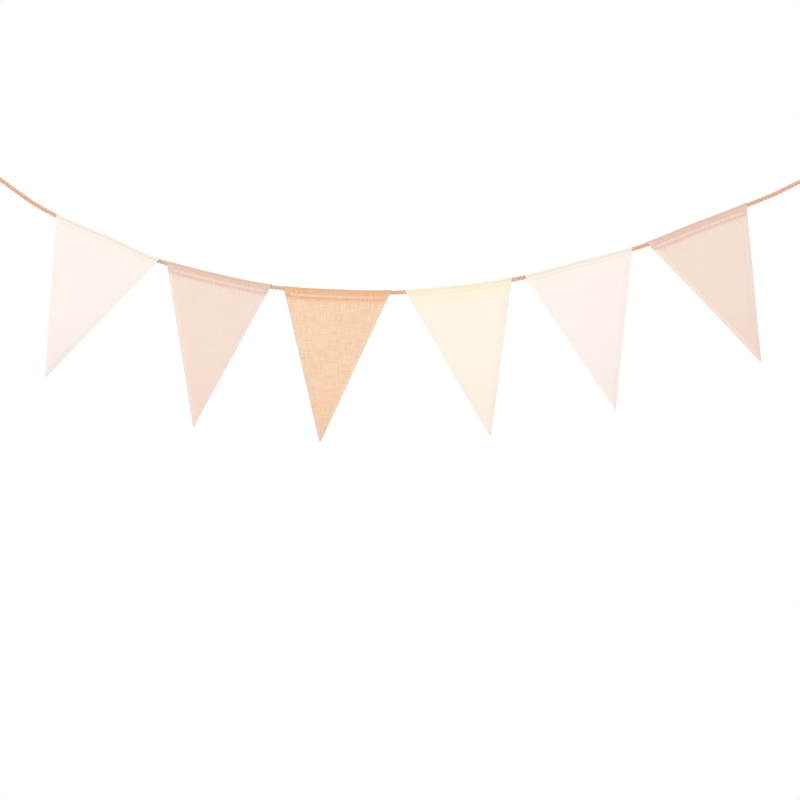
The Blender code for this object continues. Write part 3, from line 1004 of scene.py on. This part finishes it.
class BUNTING_OT_stage(bpy.types.Operator):
    """Adds the floor, the studio light and the camera"""

    bl_idname = "bunting.stage"
    bl_label = "Stage"

    def execute(self, context):
        scene = context.scene
        camera = place_object("camera", bpy.data.cameras.new("camera"), CAMERA_PLACE)
        camera.rotation_euler = (math.radians(90), 0.0, 0.0)
        camera.data.lens = CAMERA_LENS
        camera.data.sensor_width = 36.0
        camera.data.clip_end = 50.0
        scene.camera = camera

        world = bpy.data.worlds.new("studio")
        world.use_nodes = True
        background = world.node_tree.nodes["Background"]
        background.inputs["Color"].default_value = (1.0, 1.0, 1.0, 1.0)
        background.inputs["Strength"].default_value = 1.0
        scene.world = world
        scene.view_settings.view_transform = "Standard"

        key = bpy.data.lights.new("key_light", "AREA")
        key.shape = "DISK"
        key.size = KEY_SIZE
        key.energy = KEY_ENERGY
        key_object = place_object("key_light", key, KEY_PLACE)
        target = place_object("light_target", None, KEY_AIM)
        aim = key_object.constraints.new("TRACK_TO")
        aim.track_axis = "TRACK_NEGATIVE_Z"
        aim.up_axis = "UP_Y"
        aim.target = target

        angles = np.linspace(0, 2 * math.pi, FLOOR_SIDES + 1)[:-1]
        rim = np.stack([np.cos(angles), np.sin(angles), np.zeros(FLOOR_SIDES)], axis=1)
        rim = rim * FLOOR_RADIUS + np.array((MIDDLE, 0.0, FLOOR_HEIGHT))
        material = plain_finish("floor_paint", tuple(scene.bunting_colours.floor), 0.85)
        floor = make_object("floor", rim, [tuple(range(FLOOR_SIDES))], {}, material)
        return {"FINISHED"}


class BUNTING_OT_string(bpy.types.Operator):
    """Adds the twisted string and, at each end, its loop, knot and frayed tail"""

    bl_idname = "bunting.string"
    bl_label = "String and its ends"

    def execute(self, context):
        sizes, colours = context.scene.bunting_sizes, context.scene.bunting_colours
        ends = loop_ends()
        string = HangingString(ends)
        material = cord_finish(colours)
        draws = np.random.default_rng(7)
        cord = make_string(string, ends, sizes, material)
        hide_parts("string")
        pieces = []
        for side, end in ends.items():
            loop = make_loop(side, end, sizes, material)
            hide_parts(f"hang_loop_{side}")
            knot = make_knot(side, end, sizes, material)
            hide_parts(f"hang_knot_{side}")
            tail = make_tail(side, end, sizes, material, draws)
            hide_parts(f"string_tail_{side}")
            pieces += [loop, knot, tail]
        for piece in [cord, *pieces]:
            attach(piece, "root")
        return {"FINISHED"}


class BUNTING_OT_pennants(bpy.types.Operator):
    """Adds the six pennants, each with its casing, hems and stitching"""

    bl_idname = "bunting.pennants"
    bl_label = "Pennants"

    def execute(self, context):
        sizes, colours = context.scene.bunting_sizes, context.scene.bunting_colours
        string = HangingString(loop_ends())
        cloths = {name: cloth_finish(name, colours, sizes) for name in CLOTH_LOOKS}
        threads = {name: thread_finish(name, colours) for name in CLOTH_LOOKS}
        for number, row in enumerate(PENNANTS, start=1):
            name = row[0]
            cloth, piece = make_pennant(number, row, string, sizes, cloths[name])
            stitching = make_stitching(number, cloth, sizes, threads[name])
            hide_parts(f"pennant_{number}")
            for made in (piece, stitching):
                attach(made, "root")
        return {"FINISHED"}


class BUNTING_PT_panel(bpy.types.Panel):
    """Lists the pieces of the bunting"""

    bl_idname = "BUNTING_PT_panel"
    bl_label = "Burlap bunting"
    bl_space_type = "VIEW_3D"
    bl_region_type = "UI"
    bl_category = "Bunting"

    def draw(self, context):
        layout = self.layout
        for group in (context.scene.bunting_sizes, context.scene.bunting_colours):
            column = layout.column(align=True)
            for name in type(group).__annotations__:
                column.prop(group, name)
        for operator in (BUNTING_OT_stage, BUNTING_OT_string, BUNTING_OT_pennants):
            layout.operator(operator.bl_idname)


CLASSES = (
    BuntingSizes,
    BuntingColours,
    BUNTING_OT_stage,
    BUNTING_OT_string,
    BUNTING_OT_pennants,
    BUNTING_PT_panel,
)


def register():
    for cls in CLASSES:
        bpy.utils.register_class(cls)
    bpy.types.Scene.bunting_sizes = bpy.props.PointerProperty(type=BuntingSizes)
    bpy.types.Scene.bunting_colours = bpy.props.PointerProperty(type=BuntingColours)


def unregister():
    del bpy.types.Scene.bunting_colours
    del bpy.types.Scene.bunting_sizes
    for cls in reversed(CLASSES):
        bpy.utils.unregister_class(cls)


def main():
    register()
    bpy.ops.bunting.stage()
    bpy.ops.bunting.string()
    bpy.ops.bunting.pennants()
    bpy.context.view_layer.update()


if __name__ == "__main__":
    main()
